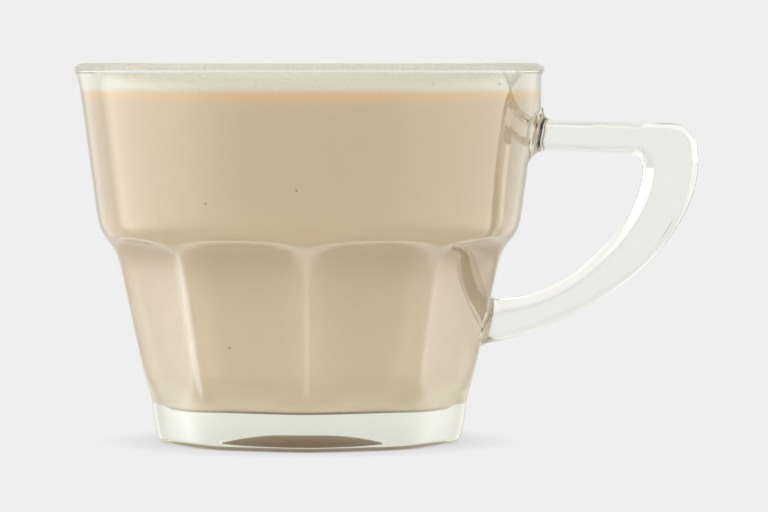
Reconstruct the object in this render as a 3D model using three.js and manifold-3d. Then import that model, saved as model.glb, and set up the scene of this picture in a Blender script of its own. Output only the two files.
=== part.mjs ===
import * as THREE from 'three';
import Module from 'manifold-3d';

const wasm = await Module();
wasm.setup();

// Masala chai in a low glass mug, in millimetres, +Z up. The mug stands on z = 0 and its handle
// points along +X. The origin lies under the middle of the whole outline, handle included, so the
// cup's own axis stands a little to -X of it. Angles round the cup start at -Y and grow towards +X.

// Driving dimensions of the cup
const HEIGHT = 68.4;
const RIM_RADIUS = 42.5;
const HANDLE_REACH = 70.2;
const PANELS = 9;
const SHOULDER = 37.5;

// Round band above the shoulder: a straight taper, a small lip at the rim and a tuck at the shoulder
const BAND_TAPER = 0.132;
const LIP_HEIGHT = 67.2;
const LIP_FLARE = 0.7;
const LIP_SPREAD = 1.5;
const TUCK_DEPTH = 2.2;
const TUCK_HEIGHT = 36.8;
const TUCK_SPREAD = 1.0;

// Flat panels below the shoulder: distance from the axis, and the cove that carries them outwards
const PANEL_FOOT = 26.1;
const PANEL_TAPER = 0.2;
const COVE_RISE = 0.6;
const COVE_SPREAD = 3.0;
const SHELF_RISE = 3.1;
const SHELF_SPREAD = 1.15;
const SHOULDER_SHARPNESS = 150;

// Sharpness of the ridges between the panels: nearly round up to one height, crisp from another on
const FOOT_SHARPNESS = 20;
const RIDGE_SHARPNESS = 100;
const FOOT_SOFT = 8;
const FOOT_CRISP = 17;

// Foot, hollow and rim
const FOOT_ROUND = 1.0;
const PUNT_RADIUS = 18.6;
const PUNT_RISE = 3.5;
const PUNT_SHIFT = -1.1;
const FLOOR = 6.9;
const FLOOR_ROUND = 7.5;
const CAVITY_FOOT = 22.7;
const CAVITY_LOW_TAPER = 0.217;
const CAVITY_RIM = 39.5;
const CAVITY_HIGH_TAPER = 0.2;
const CAVITY_BEND_LOW = 30;
const CAVITY_BEND_HIGH = 44;
const RIM_SKEW = 0.5;

// Thicker pad of glass that carries the handle's upper end
const PAD_RADIUS = 41.9;
const PAD_SPREAD = 0.14;
const PAD_LOW = 50;
const PAD_HIGH = 57;

// Handle, drawn in the upright plane through the axis: distance from the axis, then height
const BAR_TOP = [[39.0, 58.3], [65.7, 57.5]];
const BAR_UNDER = [[38.3, 52.6], [56.4, 52.2]];
const LIMB_OUTER = [[70.2, 52.2], [71.7, 39.8], [57.2, 22.1], [30.5, 17.4]];
const LIMB_INNER = [[60.3, 49.6], [60.3, 40.5], [48.8, 26.9], [34.5, 25.7]];
const ROOT_OUTER = [28.3, 17.0];
const ROOT_INNER = [30.0, 26.0];
const HANDLE_HALF_WIDTH = 4.6;
const HANDLE_EDGE_ROUND = 2.3;
const HANDLE_FILLET = 2.2;
const BEVEL_EDGE_SHARE = 0.55;
const BEVEL_START = 0.16;
const BEVEL_END = 0.5;

// Contents
const TEA_LEVEL = 63.6;
const FROTH_TOP = 66.6;
const FROTH_EDGE_ROUND = 0.8;
const GAP = 0.3;

// Fineness of the faceted surfaces: heights of rings, and shares along the handle's straight parts
const SEGMENTS = PANELS * 8;
const SECTION_STEPS = 8;
const PUNT_SHARES = [0.35, 0.7, 1];
const LOWER_RINGS = [8, 12, 17, 25, 30, 33];
const SHOULDER_RINGS = 12;
const SHOULDER_BELOW = 3;
const SHOULDER_ABOVE = 1.2;
const UPPER_RINGS = [40, 42, 46, 50, 53.5, 57, 60, 63, 65, 66.3];
const RIM_RINGS = 6;
const CAVITY_RINGS = [TEA_LEVEL, 50, 44, 41, 39, 37, 35, 33, 30, 20];
const ROUND_RINGS = 4;
const BAR_SHARES = [0, 0.08, 0.11, 0.14, 0.17, 0.21, 0.3, 0.5, 0.75, 1];
const CORNER_STATIONS = 5;
const LIMB_STATIONS = 16;
const ROOT_STATIONS = 4;

const AXIS_X = (RIM_RADIUS - HANDLE_REACH) / 2;
const PANEL_ANGLE = 2 * Math.PI / PANELS;
const HANDLE_ANGLE = Math.PI / 2;

function smoothstep(value, low, high) {
  const t = Math.min(Math.max((value - low) / (high - low), 0), 1);
  return t * t * (3 - 2 * t);
}

// Steps from 0 to 1, both ends included
function steps(count) {
  return Array.from({ length: count + 1 }, (_, i) => i / count);
}

// How far a quarter round of this radius pulls an edge in, at a height above the edge
function quarterRound(height, radius) {
  const rest = Math.min(Math.max(radius - height, 0), radius);
  return radius - Math.sqrt(radius * radius - rest * rest);
}

// Radius of the turned outside, before the panels are cut into it
function bandRadius(z) {
  const taper = RIM_RADIUS - LIP_FLARE - BAND_TAPER * (LIP_HEIGHT - z);
  const lip = LIP_FLARE * Math.exp((z - LIP_HEIGHT) / LIP_SPREAD);
  const tuck = TUCK_DEPTH / (1 + Math.exp((z - TUCK_HEIGHT) / TUCK_SPREAD));
  return taper + lip - tuck;
}

// Distance of the panels' surface from the axis: the nine planes meet in rounded upright ridges
function panelRadius(angle, z) {
  const cove = COVE_RISE * Math.exp((z - SHOULDER) / COVE_SPREAD);
  const shelf = SHELF_RISE * Math.exp((z - SHOULDER) / SHELF_SPREAD);
  const crisp = smoothstep(z, FOOT_SOFT, FOOT_CRISP);
  const sharpness = FOOT_SHARPNESS + (RIDGE_SHARPNESS - FOOT_SHARPNESS) * crisp;
  let sum = 0;
  for (let i = 0; i < PANELS; i += 1) {
    const facing = Math.cos(angle - (i + 0.5) * PANEL_ANGLE);
    sum += Math.max(facing, 0) ** sharpness;
  }
  return (PANEL_FOOT + PANEL_TAPER * z + cove + shelf) / sum ** (1 / sharpness);
}

// Outside of the cup: the smaller of band and panel with a softened edge, the pad and the foot's round
function outerRadius(angle, z) {
  const band = bandRadius(z);
  const ratio = band / panelRadius(angle, z);
  const cut = band * (1 + ratio ** SHOULDER_SHARPNESS) ** (-1 / SHOULDER_SHARPNESS);
  const away = (angle - HANDLE_ANGLE) / PAD_SPREAD;
  const pad = Math.max(PAD_RADIUS - cut, 0) * Math.exp(-away * away) * smoothstep(z, PAD_LOW, PAD_HIGH);
  return cut + pad - quarterRound(z, FOOT_ROUND);
}

// Inside of the cup: two cones joined by a soft bend, and a rounded corner at the floor. What fills
// the cup has the same form, pulled in by its clearance.
function cavityRadius(z, clearance = 0) {
  const low = CAVITY_FOOT + CAVITY_LOW_TAPER * z;
  const high = CAVITY_RIM - CAVITY_HIGH_TAPER * (LIP_HEIGHT - z);
  const wall = low + (high - low) * smoothstep(z, CAVITY_BEND_LOW, CAVITY_BEND_HIGH);
  return wall - clearance - quarterRound(z - FLOOR - clearance, FLOOR_ROUND - clearance);
}

// One ring of points round the cup's axis, from a radius that may change with the angle. A shift moves
// the whole ring along X.
function ring(radiusAt, z, shift = 0) {
  const points = [];
  for (let i = 0; i < SEGMENTS; i += 1) {
    const angle = i * 2 * Math.PI / SEGMENTS;
    const radius = radiusAt(angle);
    points.push([AXIS_X + shift + radius * Math.sin(angle), -radius * Math.cos(angle), z]);
  }
  return points;
}

// Closed skin over a row of rings of equal length, with one point that shuts each end
function skin(startPoint, rings, endPoint) {
  const count = rings[0].length;
  const points = [startPoint, ...rings.flat(), endPoint];
  const last = points.length - 1;
  const index = [];
  for (let j = 0; j < count; j += 1) {
    const next = (j + 1) % count;
    index.push(0, 1 + next, 1 + j);
    for (let i = 0; i < rings.length - 1; i += 1) {
      const here = 1 + i * count;
      const above = here + count;
      index.push(here + j, here + next, above + next);
      index.push(here + j, above + next, above + j);
    }
    const top = 1 + (rings.length - 1) * count;
    index.push(top + j, top + next, last);
  }
  const geometry = new THREE.BufferGeometry();
  geometry.setAttribute('position', new THREE.Float32BufferAttribute(points.flat(), 3));
  geometry.setIndex(index);
  return geometry;
}

function solidOf(geometry) {
  return new wasm.Manifold(new wasm.Mesh({
    numProp: 3,
    vertProperties: geometry.getAttribute('position').array,
    triVerts: new Uint32Array(geometry.getIndex().array),
  }));
}

function geometryOf(solid) {
  const mesh = solid.getMesh();
  const geometry = new THREE.BufferGeometry();
  geometry.setAttribute('position', new THREE.BufferAttribute(mesh.vertProperties, 3));
  geometry.setIndex(new THREE.BufferAttribute(mesh.triVerts, 1));
  return geometry;
}

// The cup as one skin: up from the hollow under the foot, over the rim and down to the floor
function cupGeometry() {
  const rings = [];
  for (const share of PUNT_SHARES) {
    rings.push(ring(() => PUNT_RADIUS * share, PUNT_RISE * (1 - share * share), PUNT_SHIFT));
  }
  const foot = steps(ROUND_RINGS).map((share) => FOOT_ROUND * (1 - Math.cos(share * Math.PI / 2)));
  const shoulder = steps(SHOULDER_RINGS).map(
    (share) => SHOULDER - SHOULDER_BELOW + (SHOULDER_BELOW + SHOULDER_ABOVE) * share,
  );
  for (const z of [...foot, ...LOWER_RINGS, ...shoulder, ...UPPER_RINGS]) {
    rings.push(ring((angle) => outerRadius(angle, z), z));
  }
  for (const share of steps(RIM_RINGS)) {
    const turn = share * Math.PI;
    const inner = cavityRadius(LIP_HEIGHT);
    const z = LIP_HEIGHT + (HEIGHT - LIP_HEIGHT) * Math.sin(turn);
    rings.push(ring((angle) => {
      const outer = outerRadius(angle, LIP_HEIGHT);
      const across = (outer - inner) / 2 * Math.cos(turn);
      return (outer + inner) / 2 + across - RIM_SKEW * Math.sin(turn) ** 2;
    }, z));
  }
  for (const z of cavityHeights()) {
    rings.push(ring(() => cavityRadius(z), z));
  }
  return skin([AXIS_X + PUNT_SHIFT, 0, PUNT_RISE], rings, [AXIS_X, 0, FLOOR]);
}

// Heights of the rings down the inside, close together at the bend and at the rounded corner
function cavityHeights(clearance = 0) {
  const floor = FLOOR + clearance;
  const round = FLOOR_ROUND - clearance;
  const corner = steps(ROUND_RINGS).map((share) => floor + round * (1 - Math.sin(share * Math.PI / 2)));
  return [...CAVITY_RINGS, ...corner];
}

function between(a, b, share) {
  return [a[0] + (b[0] - a[0]) * share, a[1] + (b[1] - a[1]) * share];
}

function cubic(points, share) {
  const vectors = points.map(([x, z]) => new THREE.Vector2(x, z));
  const point = new THREE.CubicBezierCurve(...vectors).getPoint(share);
  return [point.x, point.y];
}

// A quarter of an ellipse from a level start to an upright end
function corner(start, end, share) {
  const turn = share * Math.PI / 2;
  const x = start[0] + (end[0] - start[0]) * Math.sin(turn);
  const z = end[1] + (start[1] - end[1]) * Math.cos(turn);
  return [x, z];
}

// Pairs of points, on the handle's inner and outer outline, from the upper root to the lower one
function handleStations() {
  const stations = [];
  for (const share of BAR_SHARES) {
    stations.push([between(...BAR_UNDER, share), between(...BAR_TOP, share)]);
  }
  for (const share of steps(CORNER_STATIONS).slice(1)) {
    stations.push([corner(BAR_UNDER[1], LIMB_INNER[0], share), corner(BAR_TOP[1], LIMB_OUTER[0], share)]);
  }
  for (const step of steps(LIMB_STATIONS).slice(1)) {
    const share = step * (2 - step);
    stations.push([cubic(LIMB_INNER, share), cubic(LIMB_OUTER, share)]);
  }
  for (const share of steps(ROOT_STATIONS).slice(1)) {
    stations.push([between(LIMB_INNER[3], ROOT_INNER, share), between(LIMB_OUTER[3], ROOT_OUTER, share)]);
  }
  return stations;
}

// Fillet at the roots: how far the handle swells where it comes within a fillet of the wall
function rootSwell([x, z]) {
  return quarterRound(x - outerRadius(HANDLE_ANGLE, z), HANDLE_FILLET);
}

// Half the handle's width along Y, at a share of the way from its inner to its outer outline:
// bevelled towards the finger gap, flat on the face and rounded at both edges
function halfWidth(share, thickness, bevel) {
  const slope = BEVEL_EDGE_SHARE + (1 - BEVEL_EDGE_SHARE) * smoothstep(share, 0, bevel);
  const depth = Math.min(share, 1 - share) * thickness;
  const rest = Math.max(HANDLE_EDGE_ROUND - depth, 0) / HANDLE_EDGE_ROUND;
  return HANDLE_HALF_WIDTH * slope * Math.sqrt(1 - rest * rest);
}

// One closed section of the handle: out along one face and back along the other
function handleSection([inner, outer], along) {
  const innerSwell = rootSwell(inner);
  const outerSwell = rootSwell(outer);
  const length = Math.hypot(outer[0] - inner[0], outer[1] - inner[1]);
  const low = between(inner, outer, -innerSwell / length);
  const high = between(inner, outer, 1 + outerSwell / length);
  const widen = 1 + (innerSwell + outerSwell) / 2 / HANDLE_HALF_WIDTH;
  const bevel = BEVEL_START + (BEVEL_END - BEVEL_START) * along;
  const points = [];
  for (let k = 0; k < 2 * SECTION_STEPS; k += 1) {
    const share = (1 - Math.cos(Math.PI * k / SECTION_STEPS)) / 2;
    const side = k < SECTION_STEPS ? 1 : -1;
    const [x, z] = between(low, high, share);
    points.push([AXIS_X + x, side * widen * halfWidth(share, length, bevel), z]);
  }
  return points;
}

function handleGeometry() {
  const stations = handleStations();
  const rings = stations.map((pair, i) => handleSection(pair, i / (stations.length - 1)));
  const ends = [stations[0], stations.at(-1)].map(([inner, outer]) => {
    const [x, z] = between(inner, outer, 0.5);
    return [AXIS_X + x, 0, z];
  });
  return skin(ends[0], rings, ends[1]);
}

function mugGeometry() {
  return geometryOf(solidOf(cupGeometry()).add(solidOf(handleGeometry())));
}

// The tea fills the hollow up to its level, a hair clear of the glass
function teaGeometry() {
  const heights = cavityHeights(GAP).reverse();
  const rings = heights.map((z) => ring(() => cavityRadius(z, GAP), z));
  return skin([AXIS_X, 0, FLOOR + GAP], rings, [AXIS_X, 0, TEA_LEVEL]);
}

// A thin head of milk froth lies on the tea, rounded where its top meets the glass
function frothGeometry() {
  const bottom = TEA_LEVEL + GAP;
  const rings = [ring(() => cavityRadius(bottom, GAP), bottom)];
  for (const share of steps(4)) {
    const z = FROTH_TOP - FROTH_EDGE_ROUND * (1 - Math.sin(share * Math.PI / 2));
    const inset = quarterRound(FROTH_TOP - z, FROTH_EDGE_ROUND);
    rings.push(ring(() => cavityRadius(z, GAP) - inset, z));
  }
  return skin([AXIS_X, 0, bottom], rings, [AXIS_X, 0, FROTH_TOP]);
}

function piece(name, geometry, material) {
  geometry.computeVertexNormals();
  const mesh = new THREE.Mesh(geometry, material);
  mesh.name = name;
  return mesh;
}

const glass = new THREE.MeshStandardMaterial({
  color: 0xe2e6da, roughness: 0.04, metalness: 0, transparent: true, opacity: 0.35,
});
const tea = new THREE.MeshStandardMaterial({ color: 0xcdb792, roughness: 0.45, metalness: 0 });
const froth = new THREE.MeshStandardMaterial({ color: 0xeee6d4, roughness: 0.85, metalness: 0 });

const mug = new THREE.Group();
mug.name = 'masala_chai';
mug.add(piece('glass_mug', mugGeometry(), glass));
mug.add(piece('tea', teaGeometry(), tea));
mug.add(piece('froth', frothGeometry(), froth));

export default mug;
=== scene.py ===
# %% [markdown]
# # Masala chai in a glass mug
#
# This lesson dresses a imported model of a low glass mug, filled with milky spiced tea, for a studio
# picture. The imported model, the frame, gives the true place and size of three pieces: the pressed glass
# mug, the tea and its thin head of froth. Every piece below is a new, fine surface in the same place,
# because glass shows each facet of a coarse mesh. Shapes are worked out in millimetres and turned
# into metres when a mesh is made.

# %% Load the frame and read the driving sizes from it
import bpy
import math
import numpy as np
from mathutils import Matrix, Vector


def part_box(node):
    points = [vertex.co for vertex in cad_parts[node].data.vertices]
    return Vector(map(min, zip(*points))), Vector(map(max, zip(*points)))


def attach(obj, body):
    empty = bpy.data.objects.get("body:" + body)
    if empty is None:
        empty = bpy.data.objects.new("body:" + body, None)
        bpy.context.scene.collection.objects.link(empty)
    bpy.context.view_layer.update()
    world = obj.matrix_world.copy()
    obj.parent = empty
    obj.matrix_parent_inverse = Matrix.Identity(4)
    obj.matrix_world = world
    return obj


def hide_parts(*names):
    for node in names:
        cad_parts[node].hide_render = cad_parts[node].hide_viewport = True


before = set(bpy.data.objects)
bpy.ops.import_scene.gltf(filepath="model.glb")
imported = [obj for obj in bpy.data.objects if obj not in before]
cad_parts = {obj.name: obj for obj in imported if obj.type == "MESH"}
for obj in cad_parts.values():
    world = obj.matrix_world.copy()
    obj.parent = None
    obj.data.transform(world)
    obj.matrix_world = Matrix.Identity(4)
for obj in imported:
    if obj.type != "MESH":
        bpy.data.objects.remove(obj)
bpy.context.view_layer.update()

MM = 0.001
mug_low, mug_high = (np.array(corner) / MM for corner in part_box("glass_mug"))
HEIGHT = mug_high[2]
RIM_RADIUS = (mug_high[1] - mug_low[1]) / 2
AXIS_X = mug_low[0] + RIM_RADIUS
HANDLE_REACH = mug_high[0] - AXIS_X
TEA_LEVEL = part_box("tea")[1].z / MM
FROTH_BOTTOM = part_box("froth")[0].z / MM
FROTH_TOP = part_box("froth")[1].z / MM
print(f"mug {HEIGHT:.1f} mm tall, rim radius {RIM_RADIUS:.1f} mm")
print(f"axis at x {AXIS_X:.2f} mm, the handle reaches {HANDLE_REACH:.1f} mm from it")
print(f"tea up to {TEA_LEVEL:.1f} mm, froth from {FROTH_BOTTOM:.1f} to {FROTH_TOP:.1f} mm")

# %% [markdown]
# ## Camera
#
# The picture was taken with a long lens, almost level with the rim: the rim's far and near edges lie
# on one line, and the foot is seen a few degrees from above. One millimetre of the mug is 5.53 pixels
# wide in a picture of 768 pixels, and those two facts fix the lens once a distance is chosen. The
# camera looks along +Y, tilted down by so little that upright edges stay upright to the eye.

# %% Camera at the height of the rim
PICTURE_WIDTH = 768
PIXELS_PER_MM = 5.53
SENSOR_WIDTH = 36.0
CAMERA_DISTANCE = 850.0
EYE_HEIGHT = 70.0
VIEW_X, VIEW_HEIGHT = -0.36, 33.5
CLIP_START, CLIP_END = 0.05, 20

camera_data = bpy.data.cameras.new("camera")
camera_data.sensor_width = SENSOR_WIDTH
camera_data.lens = SENSOR_WIDTH * PIXELS_PER_MM * CAMERA_DISTANCE / PICTURE_WIDTH
camera_data.clip_start, camera_data.clip_end = CLIP_START, CLIP_END
camera = bpy.data.objects.new("camera", camera_data)
camera.location = (VIEW_X * MM, -CAMERA_DISTANCE * MM, EYE_HEIGHT * MM)
tilt = math.atan((EYE_HEIGHT - VIEW_HEIGHT) / CAMERA_DISTANCE)
camera.rotation_euler = (math.pi / 2 - tilt, 0, 0)
bpy.context.scene.collection.objects.link(camera)
bpy.context.scene.camera = camera
bpy.context.scene.view_settings.view_transform = "Standard"
print(f"lens {camera_data.lens:.0f} mm at {CAMERA_DISTANCE:.0f} mm, tilt {math.degrees(tilt):.1f} degrees")

# %% [markdown]
# ## From formulas to a mesh
#
# Every surface here is a grid of points: rows along a profile, columns round an axis. One helper turns
# such a grid into a closed mesh. It joins the last column to the first, and shuts each end of the
# tube with one pole, so no seam or hole is left. The points come as whole numpy arrays and go into the
# mesh in one call, which is fast and keeps the formula in view.

# %% Closed mesh from a grid of points
TINY = 1e-6


def closed_tube(name, grid, start_pole, end_pole):
    """Grid of rows by columns by three, in mm: quads between neighbours, a fan of triangles at each end."""
    rows, columns = grid.shape[:2]
    points = np.concatenate([[start_pole], grid.reshape(-1, 3), [end_pole]]) * MM
    row, column = np.meshgrid(np.arange(rows - 1), np.arange(columns), indexing="ij")
    beside = (column + 1) % columns
    here = 1 + row * columns
    quads = np.stack([here + column, here + beside, here + columns + beside, here + columns + column], -1)
    around = np.arange(columns)
    after = (around + 1) % columns
    top = 1 + (rows - 1) * columns
    first = np.stack([np.zeros_like(around), 1 + after, 1 + around], -1)
    last = np.stack([top + around, top + after, np.full_like(around, len(points) - 1)], -1)
    mesh = bpy.data.meshes.new(name)
    mesh.from_pydata(points, [], first.tolist() + quads.reshape(-1, 4).tolist() + last.tolist())
    mesh.polygons.foreach_set("use_smooth", np.ones(len(mesh.polygons), dtype=bool))
    mesh.update()
    piece = bpy.data.objects.new(name, mesh)
    bpy.context.scene.collection.objects.link(piece)
    print(f"{name}: {rows} rows of {columns} points")
    return piece


def turned(radius, height, angle):
    """Points at a radius and height, angles counted from -Y towards +X round the cup's axis."""
    radius, height, angle = np.broadcast_arrays(radius, height, angle)
    return np.stack([AXIS_X + radius * np.sin(angle), -radius * np.cos(angle), height], -1)


def smoothstep(value, low, high):
    """0 below low, 1 above high, and 3 t^2 - 2 t^3 in between."""
    t = np.clip((value - low) / (high - low), 0, 1)
    return t * t * (3 - 2 * t)


def quarter_round(height, radius):
    """How far a quarter circle r pulls an edge in at height h above it: r - sqrt(r^2 - (r - h)^2)."""
    rest = np.clip(radius - height, 0, radius)
    return radius - np.sqrt(radius * radius - rest * rest)


# %% [markdown]
# ## The pressed glass cup
#
# The real mug is pressed in a mould: a smooth conical band above, and below it nine flat panels that
# meet in softly rounded upright ridges. Each panel ends under the band in a flat arch with a small
# ledge, and towards the foot the ridges melt into a nearly round base, which swells a little before it
# turns in to the table. Cutting planes from a cone by Booleans would give hard, jagged arches. Here the
# outside is one formula instead: a turned band and nine planes, and the smaller of the two wins,
# softened where they meet. The arches then come by themselves, with an even rounding that catches the
# light. Where the handle's upper root meets the band, a low pad thickens the wall.

# %% Outside of the cup
PANELS = 9
SHOULDER = 37.5
BAND_TAPER, LIP_HEIGHT, LIP_FLARE, LIP_SPREAD = 0.132, 67.2, 0.7, 1.5
TUCK_DEPTH, TUCK_HEIGHT, TUCK_SPREAD = 2.2, 36.8, 1.0
PANEL_FOOT, PANEL_TAPER = 26.1, 0.2
COVE_RISE, COVE_SPREAD, SHELF_RISE, SHELF_SPREAD = 0.6, 3.0, 3.1, 1.15
RIDGE_SHARPNESS, SHOULDER_SHARPNESS, RATIO_LIMIT = 100, 170, 1.5
FOOT_SHARPNESS, FOOT_SOFT, FOOT_CRISP = 20, 8.0, 17.0
FOOT_ROUND = 1.3
FOOT_SWELL, SWELL_FULL, SWELL_END = 0.6, 3.0, 12.0
PANEL_ANGLE = 2 * math.pi / PANELS
HANDLE_ANGLE = math.pi / 2
PAD_RADIUS, PAD_SPREAD, PAD_LOW, PAD_HIGH = 41.9, 0.14, 50, 57


def band_radius(z):
    """A straight taper, plus a lip that fades below the rim, minus a tuck at the shoulder."""
    taper = RIM_RADIUS - LIP_FLARE - BAND_TAPER * (LIP_HEIGHT - z)
    lip = LIP_FLARE * np.exp((z - LIP_HEIGHT) / LIP_SPREAD)
    return taper + lip - TUCK_DEPTH / (1 + np.exp((z - TUCK_HEIGHT) / TUCK_SPREAD))


def panel_radius(angle, z):
    """Distance of nine planes from the axis along each angle: plane distance over the largest cosine.

    The maximum is soft, a power sum, and a lower power towards the foot makes the ridges rounder.
    """
    cove = COVE_RISE * np.exp((z - SHOULDER) / COVE_SPREAD)
    shelf = SHELF_RISE * np.exp((z - SHOULDER) / SHELF_SPREAD)
    facing = np.cos(np.asarray(angle)[..., None] - (np.arange(PANELS) + 0.5) * PANEL_ANGLE)
    power = FOOT_SHARPNESS + (RIDGE_SHARPNESS - FOOT_SHARPNESS) * smoothstep(z, FOOT_SOFT, FOOT_CRISP)
    soft_max = (np.maximum(facing, 0) ** np.asarray(power)[..., None]).sum(-1) ** (1 / power)
    return (PANEL_FOOT + PANEL_TAPER * z + cove + shelf) / soft_max


def outer_radius(angle, z):
    """Soft minimum of band and panels, plus handle's pad and foot's swell, minus the foot's round.

    The ratio's limit keeps its high power within what a number can hold.
    """
    band = band_radius(z)
    ratio = np.minimum(band / panel_radius(angle, z), RATIO_LIMIT)
    cut = band * (1 + ratio ** SHOULDER_SHARPNESS) ** (-1 / SHOULDER_SHARPNESS)
    away = (angle - HANDLE_ANGLE) / PAD_SPREAD
    pad = np.maximum(PAD_RADIUS - cut, 0) * np.exp(-away * away) * smoothstep(z, PAD_LOW, PAD_HIGH)
    swell = FOOT_SWELL * (1 - smoothstep(z, SWELL_FULL, SWELL_END))
    return cut + pad + swell - quarter_round(z, FOOT_ROUND)


print(f"outside radius {outer_radius(0.0, SHOULDER):.1f} mm at the shoulder")
print(f"outside radius {outer_radius(0.0, FOOT_ROUND):.1f} mm at the foot")

# %% [markdown]
# The inside is plain and round: two cones with a soft bend between them, and a rounded corner above a
# thick floor. What the glass is filled with has the same form, so the function is shared.

# %% Inside of the cup
FLOOR, FLOOR_ROUND = 6.9, 7.5
CAVITY_FOOT, CAVITY_LOW_TAPER = 22.7, 0.217
CAVITY_RIM, CAVITY_HIGH_TAPER = 39.5, 0.2
CAVITY_BEND_LOW, CAVITY_BEND_HIGH = 30, 44
MID_PANEL = 20.0


def cavity_radius(z):
    """A lower and an upper cone, blended between two heights, minus the round at the floor."""
    low = CAVITY_FOOT + CAVITY_LOW_TAPER * z
    high = CAVITY_RIM - CAVITY_HIGH_TAPER * (LIP_HEIGHT - z)
    wall = low + (high - low) * smoothstep(z, CAVITY_BEND_LOW, CAVITY_BEND_HIGH)
    return wall - quarter_round(z - FLOOR, FLOOR_ROUND)


wall = outer_radius(PANEL_ANGLE / 2, MID_PANEL) - cavity_radius(MID_PANEL)
print(f"wall {wall:.1f} mm at mid panel, floor {FLOOR:.1f} mm")

# %% [markdown]
# The cup is one skin: from the hollow under the foot, out over the foot's flat ring, up the outside,
# over the rim and down the inside to the floor. Rows stand close together where the surface turns
# fast, at the foot, the shoulder, the rim and the floor's corner, and columns crowd at the ridges. The
# hollow under the foot, the punt, sits a little off the axis, as in the photograph.

# %% Rows and columns of the cup
PUNT_RADIUS, PUNT_RISE, PUNT_SHIFT = 18.4, 3.6, -1.1
RIM_SKEW = 0.5
COLUMNS_PER_PANEL = 36
PUNT_ROWS, FOOT_ROWS, RIM_ROWS, CORNER_ROWS = 18, 11, 15, 12
RING_SHARES, FLOOR_SHARES = [0.04, 0.5, 0.96], [0.97, 0.75, 0.5, 0.25]
SIDE_ROWS = [
    (1.6, 31, 26),
    (31, 34.5, 12),
    (34.5, 39.5, 42),
    (39.5, 43, 10),
    (43, 63, 16),
    (63, LIP_HEIGHT, 10),
]
INSIDE_ROWS = [(LIP_HEIGHT, 45, 16), (45, 29, 14), (29, FLOOR + FLOOR_ROUND, 8)]


def panel_angles(per_panel):
    """Angle = panel's middle + half a panel times sin(pi/2 t), so that columns crowd at the ridges."""
    t = np.linspace(-1, 1, per_panel, endpoint=False)
    middles = (np.arange(PANELS) + 0.5) * PANEL_ANGLE
    return (middles[:, None] + PANEL_ANGLE / 2 * np.sin(math.pi / 2 * t)).ravel()


def spaced(*stretches):
    """Joined runs of numbers, each given as (start, end, steps), without the doubled ends."""
    runs = [np.linspace(start, end, steps, endpoint=False) for start, end, steps in stretches]
    return np.concatenate([*runs, [stretches[-1][1]]])


angles = panel_angles(COLUMNS_PER_PANEL)
side_z = spaced(*SIDE_ROWS)[:, None]
inside_z = spaced(*INSIDE_ROWS)[:, None]
print(f"{len(angles)} columns, {len(side_z)} rows up the side, {len(inside_z)} down the inside")

# %% Cup mesh
share = np.linspace(0, 1, PUNT_ROWS + 1)[1:, None]
punt = turned(PUNT_RADIUS * share, PUNT_RISE * (1 - share ** 2), angles) + (PUNT_SHIFT, 0, 0)
foot_edge = outer_radius(angles, 0.0)
ring_share = np.array(RING_SHARES)[:, None]
ring = turned(PUNT_RADIUS + (foot_edge - PUNT_RADIUS) * ring_share, 0, angles)
ring += (PUNT_SHIFT, 0, 0) * (1 - ring_share[..., None])
turn = np.linspace(0, math.pi / 2, FOOT_ROWS)[:, None]
foot_z = FOOT_ROUND * (1 - np.cos(turn))
foot = turned(outer_radius(angles, foot_z), foot_z, angles)
side = turned(outer_radius(angles, side_z), side_z, angles)
turn = np.linspace(0, math.pi, RIM_ROWS + 2)[1:-1, None]
rim_out, rim_in = outer_radius(angles, LIP_HEIGHT), cavity_radius(LIP_HEIGHT)
rim_radius = (rim_out + rim_in) / 2 + (rim_out - rim_in) / 2 * np.cos(turn)
rim_radius -= RIM_SKEW * np.sin(turn) ** 2
rim = turned(rim_radius, LIP_HEIGHT + (HEIGHT - LIP_HEIGHT) * np.sin(turn), angles)
inside = turned(cavity_radius(inside_z), inside_z, angles)
turn = np.linspace(0, math.pi / 2, CORNER_ROWS + 1)[1:, None]
corner_z = FLOOR + FLOOR_ROUND * (1 - np.sin(turn))
corner = turned(cavity_radius(corner_z), corner_z, angles)
floor_share = np.array(FLOOR_SHARES)[:, None]
floor = turned(cavity_radius(FLOOR) * floor_share, FLOOR, angles)
cup_grid = np.concatenate([punt, ring, foot, side, rim, inside, corner, floor])
cup = closed_tube("cup", cup_grid, (AXIS_X + PUNT_SHIFT, 0, PUNT_RISE), (AXIS_X, 0, FLOOR))

# %% [markdown]
# ## The handle
#
# The handle is pressed together with the cup: a level bar, a tight corner and a long limb that sweeps
# back to the wall. It could be one curve with a section swept along it, but its thickness changes and
# its outer corner is tighter than its inner one. Its outside and inside outlines are therefore drawn
# separately, in the upright plane through the axis. Each is a straight bar, a quarter of an ellipse, a
# cubic curve for the limb and a short straight root inside the wall.

# %% Outlines of the handle
BAR_TOP, BAR_UNDER = ((39.0, 58.3), (65.7, 57.5)), ((38.3, 52.6), (56.4, 52.2))
LIMB_OUTER = ((HANDLE_REACH, 52.2), (71.7, 39.8), (57.2, 22.1), (30.5, 17.4))
LIMB_INNER = ((60.3, 49.6), (60.3, 40.5), (48.8, 26.9), (34.5, 25.7))
ROOT_OUTER, ROOT_INNER = (28.3, 17.0), (30.0, 26.0)
BAR_STATIONS, LIMB_STATIONS = [(0, 0.25, 30), (0.25, 1, 14)], [(0, 0.7, 44), (0.7, 1, 34)]
BEND_STATIONS, ROOT_STATIONS = 14, 8


def straight(start, end, t):
    """start + (end - start) t"""
    return np.array(start) + (np.array(end) - np.array(start)) * t[:, None]


def elliptic_corner(start, end, t):
    """A quarter of an ellipse that leaves start level and reaches end upright."""
    x = start[0] + (end[0] - start[0]) * np.sin(t * math.pi / 2)
    z = end[1] + (start[1] - end[1]) * np.cos(t * math.pi / 2)
    return np.stack([x, z], -1)


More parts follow.
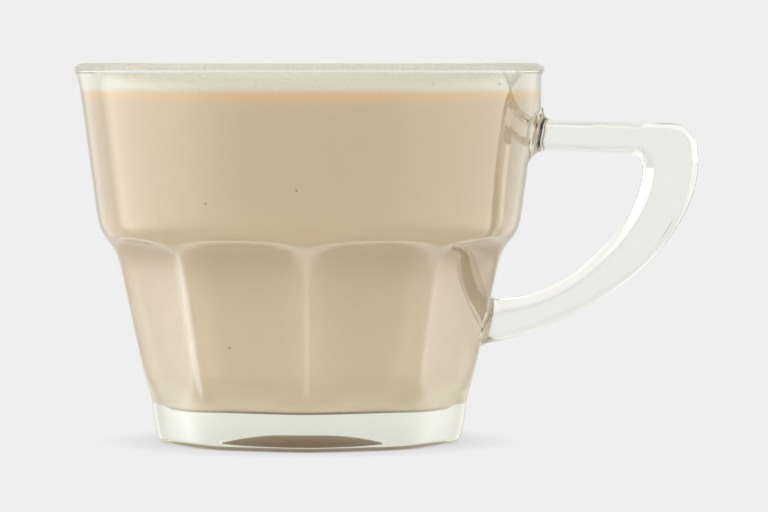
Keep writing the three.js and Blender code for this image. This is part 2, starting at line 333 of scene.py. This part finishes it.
def cubic(points, t):
    """Cubic curve: the four points weighted by (1-t)^3, 3 t (1-t)^2, 3 t^2 (1-t) and t^3."""
    weights = np.stack([(1 - t) ** 3, 3 * t * (1 - t) ** 2, 3 * t * t * (1 - t), t ** 3], -1)
    return weights @ np.array(points)


def outline(bar, limb, root):
    """Distance from the axis and height along one outline, from the upper root to the lower one."""
    bar_t = spaced(*BAR_STATIONS)
    bend_t = np.linspace(0, 1, BEND_STATIONS + 1)[1:]
    limb_t = spaced(*LIMB_STATIONS)[1:]
    root_t = np.linspace(0, 1, ROOT_STATIONS + 1)[1:]
    return np.concatenate([
        straight(*bar, bar_t),
        elliptic_corner(bar[1], limb[0], bend_t),
        cubic(limb, limb_t),
        straight(limb[3], root, root_t),
    ])


outer_line = outline(BAR_TOP, LIMB_OUTER, ROOT_OUTER)
inner_line = outline(BAR_UNDER, LIMB_INNER, ROOT_INNER)
print(f"handle outlines: {len(outer_line)} stations")

# %% [markdown]
# A flat section with rounded edges spans each pair of points of the two outlines. Towards the finger
# gap its face is bevelled, narrowly at the upper root and more and more broadly down the limb. Near the
# wall every point of the section is pushed outwards by a quarter circle of its own distance to the
# wall, which makes the fillets of the two roots.

# %% Section of the handle
HALF_WIDTH, EDGE_ROUND, FILLET, FILLET_CREASE = 4.6, 1.9, 2.3, 0.12
BEVEL_EDGE_SHARE, BEVEL_START, BEVEL_END = 0.68, 0.08, 0.45
BEVEL_SHARPNESS = 8
SECTION_POINTS = 28


def half_width(across, thickness, bevel):
    """Half width along Y: bevelled from the inner edge, flat on the face, round at both edges.

    The bevel is the soft minimum of 1 and across / bevel, (1 + (across / bevel)^-n)^(-1/n).
    """
    rise = np.maximum(across / bevel, TINY)
    eased = (1 + rise ** -BEVEL_SHARPNESS) ** (-1 / BEVEL_SHARPNESS)
    slope = BEVEL_EDGE_SHARE + (1 - BEVEL_EDGE_SHARE) * eased
    depth = np.minimum(across, 1 - across) * thickness
    rest = np.maximum(EDGE_ROUND - depth, 0) / EDGE_ROUND
    return HALF_WIDTH * slope * np.sqrt(1 - rest * rest)


step = outer_line - inner_line
thickness = np.linalg.norm(step, axis=1)
bevel = BEVEL_START + (BEVEL_END - BEVEL_START) * np.linspace(0, 1, len(step))
turn = np.arange(2 * SECTION_POINTS) * math.pi / SECTION_POINTS
across = (1 - np.cos(turn)) / 2
side_sign = np.where(turn < math.pi, 1, -1)
print(f"handle {2 * HALF_WIDTH:.1f} mm wide, {thickness.min():.1f} to {thickness.max():.1f} mm thick")

# %% Handle mesh
flat_line = inner_line[:, None] + step[:, None] * across[None, :, None]
reach_y = side_sign * half_width(across, thickness[:, None], bevel[:, None])
plain = np.stack([flat_line[..., 0], reach_y, flat_line[..., 1]], -1)
centre = (inner_line + outer_line) / 2
centre = np.stack([centre[:, 0], np.zeros(len(centre)), centre[:, 1]], -1)[:, None]
out = (plain - centre) / np.linalg.norm(plain - centre, axis=-1, keepdims=True)
wall_angle = np.arctan2(plain[..., 0], -plain[..., 1])
from_wall = np.hypot(plain[..., 0], plain[..., 1]) - outer_radius(wall_angle, plain[..., 2])
handle_grid = plain + out * quarter_round(from_wall + FILLET_CREASE, FILLET)[..., None] + (AXIS_X, 0, 0)
handle_ends = [(AXIS_X + x, 0, z) for x, z in ((inner_line[i] + outer_line[i]) / 2 for i in (0, -1))]
handle = closed_tube("handle", handle_grid, *handle_ends)

# %% [markdown]
# Cup and handle are one piece of glass, so light must not see a wall between them. A Boolean union
# joins the two skins and drops what lies inside, and its result is kept as the mug's own mesh. Edges
# that turn by more than a few degrees are marked sharp, so that smooth shading doesn't smear them.

# %% One piece of glass
SHARP_ABOVE = math.radians(18)

join = cup.modifiers.new("join", "BOOLEAN")
join.operation = "UNION"
join.solver = "MANIFOLD"
join.object = handle
bpy.context.view_layer.update()
glass_mesh = bpy.data.meshes.new_from_object(cup.evaluated_get(bpy.context.evaluated_depsgraph_get()))
glass_mug = bpy.data.objects.new("pressed_glass_mug", glass_mesh)
bpy.context.scene.collection.objects.link(glass_mug)
for helper in (cup, handle):
    bpy.data.objects.remove(helper)
glass_mesh.polygons.foreach_set("use_smooth", np.ones(len(glass_mesh.polygons), dtype=bool))
glass_mesh.set_sharp_from_angle(angle=SHARP_ABOVE)
print(f"glass: {sum(len(face.vertices) - 2 for face in glass_mesh.polygons)} triangles")

# %% [markdown]
# ## Tea
#
# A drink wets its glass, so no air lies between them. The filling therefore reaches a hair into the
# wall, and the eye meets the tea directly behind the glass. It is a turned solid with the cavity's own
# profile, flat on top where the froth lies on it. Tea and froth meet in sharp corners, because smooth
# shading there would draw a dark line round the glass.

# %% Tea mesh
INTO_WALL = 0.2
SHARP_CORNER = math.radians(65)
FILL_COLUMNS = 240
DISC_SHARES = [0.3, 0.6, 0.9, 0.985]
level = (TEA_LEVEL + FROTH_BOTTOM) / 2
TEA_ROWS = [(FLOOR + FLOOR_ROUND, 29, 10), (29, 45, 12), (45, level, 16)]

fill_angles = np.arange(FILL_COLUMNS) * 2 * math.pi / FILL_COLUMNS
tea_floor = FLOOR - INTO_WALL
turn = np.linspace(0, math.pi / 2, CORNER_ROWS + 1)[:, None]
tea_corner_z = FLOOR + FLOOR_ROUND * (1 - np.cos(turn))
tea_z = np.concatenate([tea_corner_z, spaced(*TEA_ROWS)[1:, None]])
disc = np.array(DISC_SHARES)[:, None]
tea_grid = np.concatenate([
    turned(cavity_radius(FLOOR) * disc, tea_floor, fill_angles),
    turned(cavity_radius(tea_z) + INTO_WALL, tea_z - INTO_WALL * (tea_z < FLOOR + TINY), fill_angles),
    turned(cavity_radius(level) * disc[::-1], level, fill_angles),
])
tea = closed_tube("milky_tea", tea_grid, (AXIS_X, 0, tea_floor), (AXIS_X, 0, level))

# %% [markdown]
# ## Froth
#
# Froth is a raft of milk bubbles. The large ones gather along the wall, and a thin film of them climbs
# the glass. Real bubbles could be hundreds of spheres, but under the skin they would be wasted, so the
# top is one height field: each bubble raises a dome, and of overlapping domes the higher one counts.

# %% Bubble domes
BUBBLES = 1500
BUBBLE_SMALL, BUBBLE_LARGE = 0.35, 1.3
MOSTLY_SMALL, NEAR_WALL, WALL_GAP = 2.2, 0.32, 0.3
DOME_HEIGHT = 0.55

draw = np.random.default_rng(7)
top_radius = cavity_radius(FROTH_TOP)
bubble_size = BUBBLE_SMALL * (BUBBLE_LARGE / BUBBLE_SMALL) ** (draw.random(BUBBLES) ** MOSTLY_SMALL)
bubble_radius = (top_radius - WALL_GAP) * draw.random(BUBBLES) ** NEAR_WALL
bubble_angle = draw.random(BUBBLES) * 2 * math.pi
bubble_x, bubble_y = bubble_radius * np.sin(bubble_angle), -bubble_radius * np.cos(bubble_angle)


def dome_height(x, y):
    """Highest of all domes over a point: DOME_HEIGHT sqrt(size^2 - distance^2), 0 between them."""
    height = np.zeros_like(x)
    for centre_x, centre_y, size in zip(bubble_x, bubble_y, bubble_size):
        rest = size * size - (x - centre_x) ** 2 - (y - centre_y) ** 2
        height = np.maximum(height, DOME_HEIGHT * np.sqrt(np.maximum(rest, 0)))
    return height


print(f"{BUBBLES} bubbles of {bubble_size.min():.2f} to {bubble_size.max():.2f} mm radius")

# %% [markdown]
# The froth's side follows the wall like the tea's. Its top is a fine net of rings, closer together at
# the wall, that carries the domes on a bed of tiny bubbles, and rises in a bell curve where the film
# climbs the glass. The domes fade out in the last millimetre, so that the edge stays even.

# %% Froth mesh
FOAM_COLUMNS, FOAM_ROWS, SIDE_STEPS = 560, 120, 7
FOAM_CROWDING, FOAM_BED, SIDE_DROP = 1.15, 0.7, 0.4
CLIMB, CLIMB_WIDTH, DOME_FADE = 1.45, 0.8, 1.2

foam_angles = np.arange(FOAM_COLUMNS) * 2 * math.pi / FOAM_COLUMNS
foam_share = 1 - np.linspace(0, 1, FOAM_ROWS, endpoint=False) ** FOAM_CROWDING
foam_radius = top_radius * foam_share[:, None]
foam_x, foam_y = foam_radius * np.sin(foam_angles), -foam_radius * np.cos(foam_angles)
from_edge = top_radius - foam_radius
climb = CLIMB * np.exp(-(from_edge / CLIMB_WIDTH) ** 2)
domes = dome_height(foam_x, foam_y) * smoothstep(from_edge, 0, DOME_FADE)
foam_z = FROTH_TOP - FOAM_BED + climb + domes
edge_radius = cavity_radius(foam_z[0]) + INTO_WALL
foam_top = np.stack([AXIS_X + foam_x, foam_y, foam_z], -1)
foam_top[0] = turned(edge_radius, foam_z[0], foam_angles)
froth_z = np.linspace(level, FROTH_TOP - SIDE_DROP, SIDE_STEPS)[:, None]
froth_grid = np.concatenate([
    turned(cavity_radius(level) * disc, level, foam_angles),
    turned(cavity_radius(froth_z) + INTO_WALL, froth_z, foam_angles),
    foam_top,
])
froth = closed_tube("milk_froth", froth_grid, (AXIS_X, 0, level), (AXIS_X, 0, foam_z[-1].mean()))

# %% [markdown]
# ## Finishes
#
# A mug that is stacked and washed every day wears white along its ridges and arches. The same pale lines
# also carry a painted highlight: how strong each ridge's line is follows the light, strongest on the left
# ridge, which faces the key light. A painted mask would need an unwrapped skin, so wear and painted
# highlight are worked out here from the shape: a bell curve of the distance to the nearest ridge,
# stronger on some ridges than on others, and one of the distance to the arches. It is kept on each point
# as an attribute, which the glass reads.

# %% Wear and painted highlight along the ridges
WEAR_AND_HIGHLIGHT_WIDTH, ARCH_WEAR_AND_HIGHLIGHT_DEPTH, ARCH_WEAR_AND_HIGHLIGHT = 0.8, 0.7, 0.5
# Strength of wear and painted highlight for each ridge; the last, the left ridge at -40 degrees facing the
# key light, is strongest.
RIDGE_WEAR_AND_HIGHLIGHT = np.array([0.38, 0.2, 0.45, 0.6, 0.35, 0.5, 0.4, 0.35, 1.0])
WEAR_AND_HIGHLIGHT_START, WEAR_AND_HIGHLIGHT_FULL, WEAR_AND_HIGHLIGHT_FADE, WEAR_AND_HIGHLIGHT_END = 7, 12, 34, 37
SKIN_MARGIN, WEAR_AND_HIGHLIGHT_SEEN = 0.3, 0.1

places = np.empty(3 * len(glass_mesh.vertices))
glass_mesh.vertices.foreach_get("co", places)
x, y, z = places.reshape(-1, 3).T / MM
radius, angle = np.hypot(x - AXIS_X, y), np.arctan2(x - AXIS_X, -y)
from_ridge = np.abs((angle / PANEL_ANGLE + 0.5) % 1 - 0.5) * PANEL_ANGLE * radius
on_outside = np.abs(radius - outer_radius(angle, z)) < SKIN_MARGIN
wear_and_highlight = np.exp(-(from_ridge / WEAR_AND_HIGHLIGHT_WIDTH) ** 2) * on_outside
wear_and_highlight *= smoothstep(z, WEAR_AND_HIGHLIGHT_START, WEAR_AND_HIGHLIGHT_FULL) * (1 - smoothstep(z, WEAR_AND_HIGHLIGHT_FADE, WEAR_AND_HIGHLIGHT_END))
wear_and_highlight *= RIDGE_WEAR_AND_HIGHLIGHT[np.rint(angle / PANEL_ANGLE).astype(int) % PANELS]
# The pale line along the arches is wear and a painted highlight on the arch edge.
edge = (band_radius(z) - panel_radius(angle, z)) / ARCH_WEAR_AND_HIGHLIGHT_DEPTH
wear_and_highlight = np.maximum(wear_and_highlight, ARCH_WEAR_AND_HIGHLIGHT * np.exp(-edge * edge) * on_outside)
glass_mesh.attributes.new("wear_and_highlight", "FLOAT", "POINT").data.foreach_set("value", wear_and_highlight.astype(np.float32))
print(f"wear on {np.count_nonzero(wear_and_highlight > WEAR_AND_HIGHLIGHT_SEEN)} of {len(wear_and_highlight)} points")

# %% [markdown]
# Every finish is a small net of nodes. The same few steps come back in each: feed a slot, calculate
# with numbers, ease from one number to another, and blend two colours. Each is a helper of its own, so
# that a finish below reads like a sentence. A mix node has slots for numbers, vectors and colours under
# the same names, so its colour slots are picked by their index.

# %% Nodes for finishes
RAMP_SLOTS = ("Value", "From Min", "From Max", "To Min", "To Max")
MIX_SLOTS, MIX_RESULT = (0, 6, 7), 2


def new_material(name):
    """A node material with its tree emptied, and its output node."""
    material = bpy.data.materials.new(name)
    material.use_nodes = True
    material.node_tree.nodes.clear()
    return material, material.node_tree, material.node_tree.nodes.new("ShaderNodeOutputMaterial")


def put(tree, slot, value):
    """Feeds a slot with an output, or sets it to a plain value."""
    if isinstance(value, bpy.types.NodeSocket):
        tree.links.new(value, slot)
    else:
        slot.default_value = value


def calculate(tree, operation, *values):
    """One arithmetic node on outputs or numbers."""
    node = tree.nodes.new("ShaderNodeMath")
    node.operation = operation
    for slot, value in zip(node.inputs, values):
        put(tree, slot, value)
    return node.outputs["Value"]


def ramp(tree, value, low, high, start, end):
    """A number that goes smoothly from start to end while value goes from low to high."""
    node = tree.nodes.new("ShaderNodeMapRange")
    node.interpolation_type = "SMOOTHSTEP"
    for name, number in zip(RAMP_SLOTS, (value, low, high, start, end)):
        put(tree, node.inputs[name], number)
    return node.outputs["Result"]


def blend(tree, share, first, second):
    """A colour between two colours, by a share from 0 to 1, through the mix node's colour slots."""
    node = tree.nodes.new("ShaderNodeMix")
    node.data_type = "RGBA"
    for index, value in zip(MIX_SLOTS, (share, first, second)):
        put(tree, node.inputs[index], value)
    return node.outputs[MIX_RESULT]


def place(tree):
    """Position in the piece's own coordinates, in metres."""
    return tree.nodes.new("ShaderNodeTexCoord").outputs["Object"]


# %% [markdown]
# Soda-lime glass bends light by an index of about 1.5 and swallows a trace of blue and red, which shows
# only where it is thick, at the foot. A tinted surface would colour thin and thick glass alike, so a
# volume absorption does it. Where the glass is worn, and where a highlight is painted along ridges and
# arches, it lets a little less light through, which shows as a pale, milky line.

# %% Glass
FROSTING_AND_HIGHLIGHT, GLASS_INDEX = 0.24, 1.5
GLASS_TINT, GLASS_DENSITY = (0.5, 0.76, 0.0, 1), 2.0

glass, tree, output = new_material("clear_glass")
shader = tree.nodes.new("ShaderNodeBsdfPrincipled")
shader.inputs["Base Color"].default_value = (1, 1, 1, 1)
shader.inputs["Roughness"].default_value = 0.0
shader.inputs["IOR"].default_value = GLASS_INDEX
worn_and_highlit = tree.nodes.new("ShaderNodeAttribute")
worn_and_highlit.attribute_name = "wear_and_highlight"
# Wear and painted highlight: marked places let less light through and show pale.
put(tree, shader.inputs["Transmission Weight"], ramp(tree, worn_and_highlit.outputs["Fac"], 0, 1, 1, 1 - FROSTING_AND_HIGHLIGHT))
absorb = tree.nodes.new("ShaderNodeVolumeAbsorption")
absorb.inputs["Color"].default_value = GLASS_TINT
absorb.inputs["Density"].default_value = GLASS_DENSITY
tree.links.new(shader.outputs["BSDF"], output.inputs["Surface"])
tree.links.new(absorb.outputs["Volume"], output.inputs["Volume"])
glass_mesh.materials.clear()
glass_mesh.materials.append(glass)
print(f"glass of index {GLASS_INDEX}, worn places {FROSTING_AND_HIGHLIGHT:.0%} frosted")

# %% [markdown]
# Tea with milk looks warm and full just under its froth, where light comes down through the foam; that
# warm band is painted light. Towards the foot the tea is calmer. Its underside lies in its own shade, and
# the thick foot shows it as a brown lens; that dark lowest layer is painted shade. The colour is therefore
# a ramp over the height, which tea and froth share, so that no seam shows between them, and a few specks
# of tea dust float against the glass.

# %% Tea and froth colours by height
FROTH_COLOUR = (0.80, 0.755, 0.67, 1)
# Warm band under the froth: painted light, from light coming down through the foam.
WARM_LIGHT_COLOUR = (0.71, 0.49, 0.26, 1)
TEA_COLOUR = (0.60, 0.465, 0.305, 1)
FOOT_COLOUR = (0.66, 0.53, 0.38, 1)
# Dark brown lowest layer: painted shade under the tea.
UNDERSIDE_SHADE_COLOUR = (0.27, 0.165, 0.075, 1)
SPECK_COLOUR = (0.22, 0.13, 0.07, 1)
UNDER_SHADE_LAYER = 0.45
CALM_LOW, CALM_HIGH = 20, 45
LINE_TOP, LINE_WARM, LINE_END = 64.7, 62.9, 60.6
SPECK_SCALE, SPECK_SIZE, SPECK_CORE = 260, 0.09, 0.5
SPECK_RARITY, SPECK_STRENGTH = 0.86, 0.75


def drink_colour(tree):
    """Painted underside shade to foot, foot to tea, tea to the painted warm light line, that line to froth,
    with specks on top.
    """
    position = place(tree)
    height = tree.nodes.new("ShaderNodeSeparateXYZ")
    put(tree, height.inputs["Vector"], position)
    z = height.outputs["Z"]
    colour = blend(tree, ramp(tree, z, CALM_LOW * MM, CALM_HIGH * MM, 0, 1), FOOT_COLOUR, TEA_COLOUR)
    # Painted shade on the lowest layer of the tea.
    under = ramp(tree, z, FLOOR * MM, (FLOOR + UNDER_SHADE_LAYER) * MM, 0, 1)
    colour = blend(tree, under, UNDERSIDE_SHADE_COLOUR, colour)
    # Painted warm light in the band under the froth.
    colour = blend(tree, ramp(tree, z, LINE_END * MM, LINE_WARM * MM, 0, 1), colour, WARM_LIGHT_COLOUR)
    colour = blend(tree, ramp(tree, z, LINE_WARM * MM, LINE_TOP * MM, 0, 1), colour, FROTH_COLOUR)
    cells = tree.nodes.new("ShaderNodeTexVoronoi")
    cells.inputs["Scale"].default_value = SPECK_SCALE
    put(tree, cells.inputs["Vector"], position)
    chance = tree.nodes.new("ShaderNodeSeparateColor")
    put(tree, chance.inputs["Color"], cells.outputs["Color"])
    rare = calculate(tree, "GREATER_THAN", chance.outputs["Red"], SPECK_RARITY)
    from_middle = cells.outputs["Distance"]
    speck = ramp(tree, from_middle, SPECK_SIZE * SPECK_CORE, SPECK_SIZE, SPECK_STRENGTH, 0)
    return blend(tree, calculate(tree, "MULTIPLY", rare, speck), colour, SPECK_COLOUR)


print(f"warm line at {LINE_WARM} mm, froth's own colour from {LINE_TOP} mm")

# %% [markdown]
# Behind glass the tea needs no shine of its own, so its surface is a plain, soft one.

# %% Tea
TEA_ROUGHNESS = 0.35

tea_material, tree, output = new_material("milky_tea")
shader = tree.nodes.new("ShaderNodeBsdfPrincipled")
put(tree, shader.inputs["Base Color"], drink_colour(tree))
shader.inputs["Roughness"].default_value = TEA_ROUGHNESS
tree.links.new(shader.outputs["BSDF"], output.inputs["Surface"])
tea.data.materials.append(tea_material)
tea.data.set_sharp_from_angle(angle=SHARP_CORNER)
print(f"tea: roughness {TEA_ROUGHNESS}")

# %% [markdown]
# Between the domes lie bubbles too small for the mesh. Cells of a Voronoi pattern stand for them, as a
# bump turned upside down, so that each cell bulges.

# %% Froth
FROTH_ROUGHNESS = 0.45
MICRO_SCALE, MICRO_DEPTH, MICRO_STRENGTH = 1500, 0.25, 0.5

froth_material, tree, output = new_material("milk_froth")
shader = tree.nodes.new("ShaderNodeBsdfPrincipled")
put(tree, shader.inputs["Base Color"], drink_colour(tree))
shader.inputs["Roughness"].default_value = FROTH_ROUGHNESS
micro = tree.nodes.new("ShaderNodeTexVoronoi")
micro.inputs["Scale"].default_value = MICRO_SCALE
put(tree, micro.inputs["Vector"], place(tree))
bump = tree.nodes.new("ShaderNodeBump")
bump.invert = True
bump.inputs["Strength"].default_value = MICRO_STRENGTH
bump.inputs["Distance"].default_value = MICRO_DEPTH * MM
tree.links.new(micro.outputs["Distance"], bump.inputs["Height"])
tree.links.new(bump.outputs["Normal"], shader.inputs["Normal"])
tree.links.new(shader.outputs["BSDF"], output.inputs["Surface"])
froth.data.materials.append(froth_material)
froth.data.set_sharp_from_angle(angle=SHARP_CORNER)
print(f"froth: roughness {FROTH_ROUGHNESS}, small bubbles {MICRO_DEPTH} mm deep")

# %% [markdown]
# ## Studio
#
# Clear glass has no colour of its own: what draws it is what it bends into view. Here the world does
# the work of a photographer's room, as a brightness for each direction: an even pale backdrop behind the
# mug, brighter wings beside it, large soft lights to the left and right, and a dimmer side where the
# camera stands. The table below and the ceiling are dim, so that the froth isn't burnt out from above.
# Along the sides a belt just above the horizon is as dim as the backdrop: the heavy foot bends it into
# view and stays clear instead of glaring. The camera itself sees an even pale ground.

# %% Levels of light
BACKGROUND = 0.863
ROOM_TINT, GROUND_TINT = (1.0, 1.0, 0.95, 1), (1, 1, 1, 1)
BACKDROP_EDGE, SIDE_START, SIDE_END = 24, 56, 128
EDGE_SOFT, FRONT_SOFT = 7, 24
BACKDROP_LEVEL, WING_LEVEL, LEFT_LEVEL, RIGHT_LEVEL = 0.74, 1.6, 3.9, 3.0
FRONT_LEVEL, CEILING_LEVEL, TABLE_LEVEL = 1.9, 0.95, 0.95
LEFT_END, RIGHT_START = -0.1, 0.1
BELT_START, BELT_FULL, BELT_FADE, BELT_END = -0.05, -0.01, 0.45, 0.6
TABLE_FULL, TABLE_FADE, CEILING_START, CEILING_FULL = -0.5, -0.2, 0.35, 0.7
print(f"backdrop {BACKDROP_LEVEL}, left light {LEFT_LEVEL}, right light {RIGHT_LEVEL}, front {FRONT_LEVEL}")

# %% World by direction
world = bpy.data.worlds.new("studio")
world.use_nodes = True
bpy.context.scene.world = world
room = world.node_tree
parts = room.nodes.new("ShaderNodeSeparateXYZ")
put(room, parts.inputs["Vector"], room.nodes.new("ShaderNodeTexCoord").outputs["Generated"])
east, north, up = parts.outputs
from_north = calculate(room, "ARCTAN2", calculate(room, "ABSOLUTE", east), north)
turned_away = calculate(room, "DEGREES", from_north)


def beyond(edge, soft, nearer, farther):
    """Nearer level up to an edge, in degrees away from +Y, and the farther one past it."""
    return ramp(room, turned_away, edge - soft, edge + soft, nearer, farther)


side_level = ramp(room, east, LEFT_END, RIGHT_START, LEFT_LEVEL, RIGHT_LEVEL)
light = beyond(BACKDROP_EDGE, EDGE_SOFT, BACKDROP_LEVEL, WING_LEVEL)
light = beyond(SIDE_START, EDGE_SOFT, light, side_level)
above_belt = ramp(room, up, BELT_FADE, BELT_END, BACKDROP_LEVEL, light)
light = ramp(room, up, BELT_START, BELT_FULL, light, above_belt)
light = beyond(SIDE_END, FRONT_SOFT, light, FRONT_LEVEL)
light = ramp(room, up, TABLE_FULL, TABLE_FADE, TABLE_LEVEL, light)
light = ramp(room, up, CEILING_START, CEILING_FULL, light, CEILING_LEVEL)
seen = room.nodes.new("ShaderNodeLightPath").outputs["Is Camera Ray"]
put(room, room.nodes["Background"].inputs["Strength"], ramp(room, seen, 0, 1, light, BACKGROUND))
put(room, room.nodes["Background"].inputs["Color"], blend(room, seen, ROOM_TINT, GROUND_TINT))
print(f"world of {len(room.nodes)} nodes")

# %% [markdown]
# The floor is as pale as the ground behind it, so that no horizon shows, and it darkens only close
# round the foot. It gives its own light, with the ambient occlusion node for the contact shadow, and it
# is clear to every ray but the camera's, so the room lights the mug from below too. Its mesh is one
# more closed tube, very wide and flat.

# %% Floor
TABLE_RADIUS, TABLE_DEPTH, TABLE_COLUMNS = 6000, 200, 96
TABLE_SHARES = [0.015, 0.05, 0.3, 1.0]

around = np.arange(TABLE_COLUMNS) * 2 * math.pi / TABLE_COLUMNS
table_radius = TABLE_RADIUS * np.array(TABLE_SHARES)[:, None]
table_x, table_y = table_radius * np.cos(around), table_radius * np.sin(around)
table_top = np.stack([table_x, table_y, np.zeros_like(table_x)], -1)
table_grid = np.concatenate([table_top, table_top[-1:] - (0, 0, TABLE_DEPTH)])
table = closed_tube("floor", table_grid, (0, 0, 0), (0, 0, -TABLE_DEPTH))

# %% Floor's glow and contact shadow
SHADOW_REACH, SHADOW_DARK, SHADOW_END = 12, 0.3, 90

floor_material, tree, output = new_material("floor")
glow = tree.nodes.new("ShaderNodeEmission")
nearby = tree.nodes.new("ShaderNodeAmbientOcclusion")
nearby.inputs["Distance"].default_value = SHADOW_REACH * MM
distance = tree.nodes.new("ShaderNodeVectorMath")
distance.operation = "LENGTH"
put(tree, distance.inputs[0], place(tree))
depth = ramp(tree, distance.outputs["Value"], SHADOW_END * MM / 2, SHADOW_END * MM, SHADOW_DARK, 0)
hidden = calculate(tree, "SUBTRACT", 1, nearby.outputs["AO"])
lit = calculate(tree, "SUBTRACT", 1, calculate(tree, "MULTIPLY", hidden, depth))
put(tree, glow.inputs["Strength"], calculate(tree, "MULTIPLY", lit, BACKGROUND))
clear = tree.nodes.new("ShaderNodeBsdfTransparent")
mixed = tree.nodes.new("ShaderNodeMixShader")
put(tree, mixed.inputs["Fac"], tree.nodes.new("ShaderNodeLightPath").outputs["Is Camera Ray"])
tree.links.new(clear.outputs["BSDF"], mixed.inputs[1])
tree.links.new(glow.outputs["Emission"], mixed.inputs[2])
tree.links.new(mixed.outputs["Shader"], output.inputs["Surface"])
table.data.materials.append(floor_material)
print(f"contact shadow within {SHADOW_REACH} mm of the glass")

# %% [markdown]
# ## Hand over
#
# Each new piece takes the place of the imported node whose form it repeats, and rides on the one body.

# %% Bodies, with the imported nodes hidden
for piece, node, slot in (
    (glass_mug, "glass_mug", "clear_glass"),
    (tea, "tea", "milky_tea"),
    (froth, "froth", "milk_froth"),
):
    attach(piece, "root")
    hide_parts(node)
